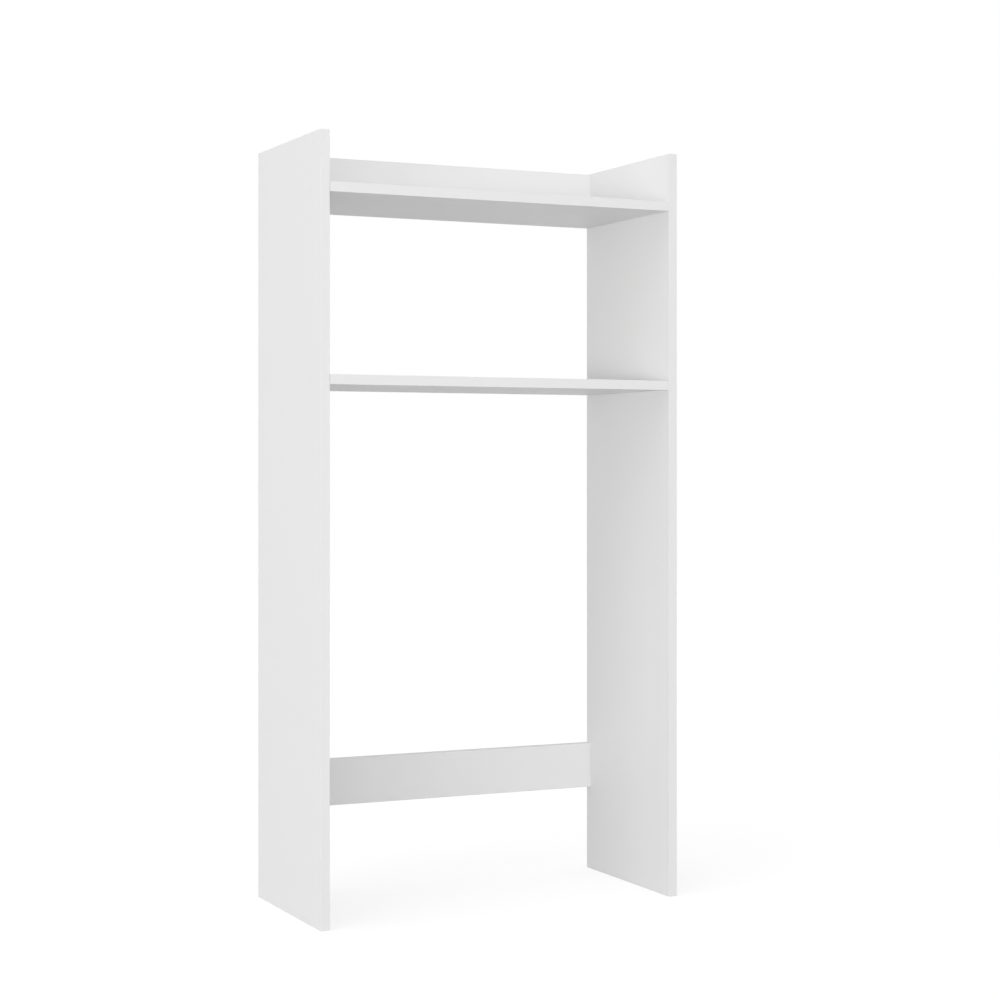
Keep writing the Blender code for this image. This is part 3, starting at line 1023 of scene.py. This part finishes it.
class CABINET_OT_add_edge_bands(bpy.types.Operator):
    """Make the eased plastic strips on the boards' edges"""

    bl_idname = "cabinet.add_edge_bands"
    bl_label = "Add Edge Bands"

    def execute(self, context):
        material = band_material(context.scene.cabinet_finish)
        for node in BANDS:
            self.add_band(node, material, context.scene.cabinet_fittings)
        return {"FINISHED"}

    def add_band(self, node, material, fittings):
        """One strip. It lies on its board's nearest edge, and its ends show if it runs past the board."""
        low, high = box_corners(node)
        carrier = next(board for prefix, board in BOARDS.items() if node.startswith(prefix))
        board_low, board_high = box_corners(carrier)
        across_first, across_second, along_axis = np.argsort(high - low)
        axes = (int(along_axis), int(across_second), int(across_first))
        out_axis = axes[2]
        outward = math.copysign(1.0, (low + high - board_low - board_high)[out_axis])
        seat = board_high[out_axis] if outward > 0 else board_low[out_axis]
        ends_show = bool(high[along_axis] > board_high[along_axis])
        points, scraped, glued = eased_strip(low, high, seat, axes, outward, fittings, ends_show)
        attributes = {
            "strip_place": ("FLOAT_VECTOR", "vector", points[..., axes]),
            "scraped_rim": ("FLOAT", "value", scraped),
            "glue": ("FLOAT", "value", glued),
        }
        name = f"eased_{node}"
        add_piece(name, closed_mesh(name, points, attributes), material, node)


class CABINET_OT_add_screws(bpy.types.Operator):
    """Make the threaded connecting screws"""

    bl_idname = "cabinet.add_screws"
    bl_label = "Add Connecting Screws"

    def execute(self, context):
        scene = context.scene
        material = zinc_material(scene.cabinet_finish)
        fittings = scene.cabinet_fittings
        add_fittings("threaded", SCREWS, screw_surface, material, fittings)
        return {"FINISHED"}


class CABINET_OT_add_caps(bpy.types.Operator):
    """Make the moulded caps over the screw heads"""

    bl_idname = "cabinet.add_caps"
    bl_label = "Add Cover Caps"

    def execute(self, context):
        scene = context.scene
        material = cap_material(scene.cabinet_finish)
        add_fittings("moulded", CAPS, cap_surface, material, scene.cabinet_fittings)
        return {"FINISHED"}


class CABINET_OT_add_dowels(bpy.types.Operator):
    """Make the fluted dowels in the ends of the shelves and the lower rail"""

    bl_idname = "cabinet.add_dowels"
    bl_label = "Add Dowels"

    def execute(self, context):
        scene = context.scene
        material = beech_material(scene.cabinet_finish)
        add_fittings("fluted", DOWELS, dowel_surface, material, scene.cabinet_fittings)
        return {"FINISHED"}


def add_floor(stage):
    half = stage.floor_width / 2
    corners = [(-half, -half, 0), (half, -half, 0), (half, half, 0), (-half, half, 0)]
    mesh = bpy.data.meshes.new("studio_floor")
    mesh.from_pydata(corners, [], [(0, 1, 2, 3)])
    mesh.materials.append(floor_material(stage))
    floor = bpy.data.objects.new("studio_floor", mesh)
    bpy.context.scene.collection.objects.link(floor)


def add_key_lamp(stage):
    """A broad lamp so far off that its light is even."""
    lamp = bpy.data.lights.new("key_lamp", "SUN")
    lamp.energy = stage.key_lamp
    lamp.angle = math.radians(KEY_LAMP_BREADTH)
    holder = bpy.data.objects.new("key_lamp", lamp)
    holder.rotation_euler = (math.radians(90 - KEY_LAMP_ELEVATION), 0, math.radians(KEY_LAMP_AZIMUTH))
    bpy.context.scene.collection.objects.link(holder)


def add_softbox(name, azimuth, stage, strength):
    """An upright bright rectangle that faces the cabinet, unseen by the camera and in gloss.

    Its power is its strength times pi times the distance squared, so the strength is the light that reaches
    the cabinet, on the same scale as the key lamp's strength. Without its glare, a satin face that is seen
    at a slant stays short of white.
    """
    distance = stage.softbox_distance
    lamp = bpy.data.lights.new(name, "AREA")
    lamp.shape = "RECTANGLE"
    lamp.size = stage.softbox_width
    lamp.size_y = stage.softbox_height
    lamp.energy = strength * math.pi * distance**2
    turn = math.radians(azimuth)
    holder = bpy.data.objects.new(name, lamp)
    holder.location = (distance * math.sin(turn), -distance * math.cos(turn), stage.softbox_height / 2)
    holder.rotation_euler = (math.pi / 2, 0, turn)
    holder.visible_camera = False
    holder.visible_glossy = False
    bpy.context.scene.collection.objects.link(holder)


def add_sky(stage):
    """Even light from all round, and plain white where the camera or gloss looks past the floor."""
    world = bpy.data.worlds.new("studio_sky")
    world.use_nodes = True
    tree = world.node_tree
    tree.nodes.clear()
    light = add_node(tree, "ShaderNodeBackground", {"Color": WHITE, "Strength": stage.sky})
    white = add_node(tree, "ShaderNodeBackground", {"Color": WHITE, "Strength": 1.0})
    inputs = {0: seen_directly(tree), 1: light.outputs[0], 2: white.outputs[0]}
    either = add_node(tree, "ShaderNodeMixShader", inputs)
    add_node(tree, "ShaderNodeOutputWorld", {"Surface": either.outputs[0]})
    bpy.context.scene.world = world


def add_camera(stage):
    camera = bpy.data.cameras.new("studio_camera")
    camera.lens = stage.focal_length
    camera.shift_y = stage.camera_shift
    holder = bpy.data.objects.new("studio_camera", camera)
    holder.location = stage.camera_place
    holder.rotation_euler = (math.pi / 2, 0, -stage.camera_heading)
    bpy.context.scene.collection.objects.link(holder)
    bpy.context.scene.camera = holder


class CABINET_OT_set_stage(bpy.types.Operator):
    """Set up the floor, the soft light and the camera"""

    bl_idname = "cabinet.set_stage"
    bl_label = "Set Stage"

    def execute(self, context):
        stage = context.scene.cabinet_stage
        add_floor(stage)
        add_sky(stage)
        add_key_lamp(stage)
        for name, azimuth in SOFTBOX_AZIMUTHS.items():
            add_softbox(name, azimuth, stage, getattr(stage, name))
        add_camera(stage)
        context.scene.view_settings.view_transform = "Standard"
        return {"FINISHED"}


class VIEW3D_PT_cabinet(bpy.types.Panel):
    """The cabinet's sizes and colours, and the steps that make its looks"""

    bl_label = "White Board Cabinet"
    bl_idname = "VIEW3D_PT_cabinet"
    bl_space_type = "VIEW_3D"
    bl_region_type = "UI"
    bl_category = "Cabinet"

    def draw(self, context):
        for group_name in PROPERTY_GROUPS:
            group = getattr(context.scene, group_name)
            box = self.layout.box()
            for name in group.__annotations__:
                box.prop(group, name)
        for operator in OPERATORS:
            self.layout.operator(operator.bl_idname)


PROPERTY_GROUPS = {
    "cabinet_finish": CabinetFinish,
    "cabinet_fittings": CabinetFittings,
    "cabinet_stage": CabinetStage,
}
OPERATORS = (
    CABINET_OT_finish_boards,
    CABINET_OT_add_edge_bands,
    CABINET_OT_add_screws,
    CABINET_OT_add_caps,
    CABINET_OT_add_dowels,
    CABINET_OT_set_stage,
)


def register():
    for name, group in PROPERTY_GROUPS.items():
        bpy.utils.register_class(group)
        setattr(bpy.types.Scene, name, PointerProperty(type=group))
    for operator in OPERATORS:
        bpy.utils.register_class(operator)
    bpy.utils.register_class(VIEW3D_PT_cabinet)


def unregister():
    bpy.utils.unregister_class(VIEW3D_PT_cabinet)
    for operator in reversed(OPERATORS):
        bpy.utils.unregister_class(operator)
    for name, group in reversed(PROPERTY_GROUPS.items()):
        delattr(bpy.types.Scene, name)
        bpy.utils.unregister_class(group)


def main():
    register()
    bpy.ops.cabinet.finish_boards()
    bpy.ops.cabinet.add_edge_bands()
    bpy.ops.cabinet.add_screws()
    bpy.ops.cabinet.add_caps()
    bpy.ops.cabinet.add_dowels()
    bpy.ops.cabinet.set_stage()


if __name__ == "__main__":
    main()
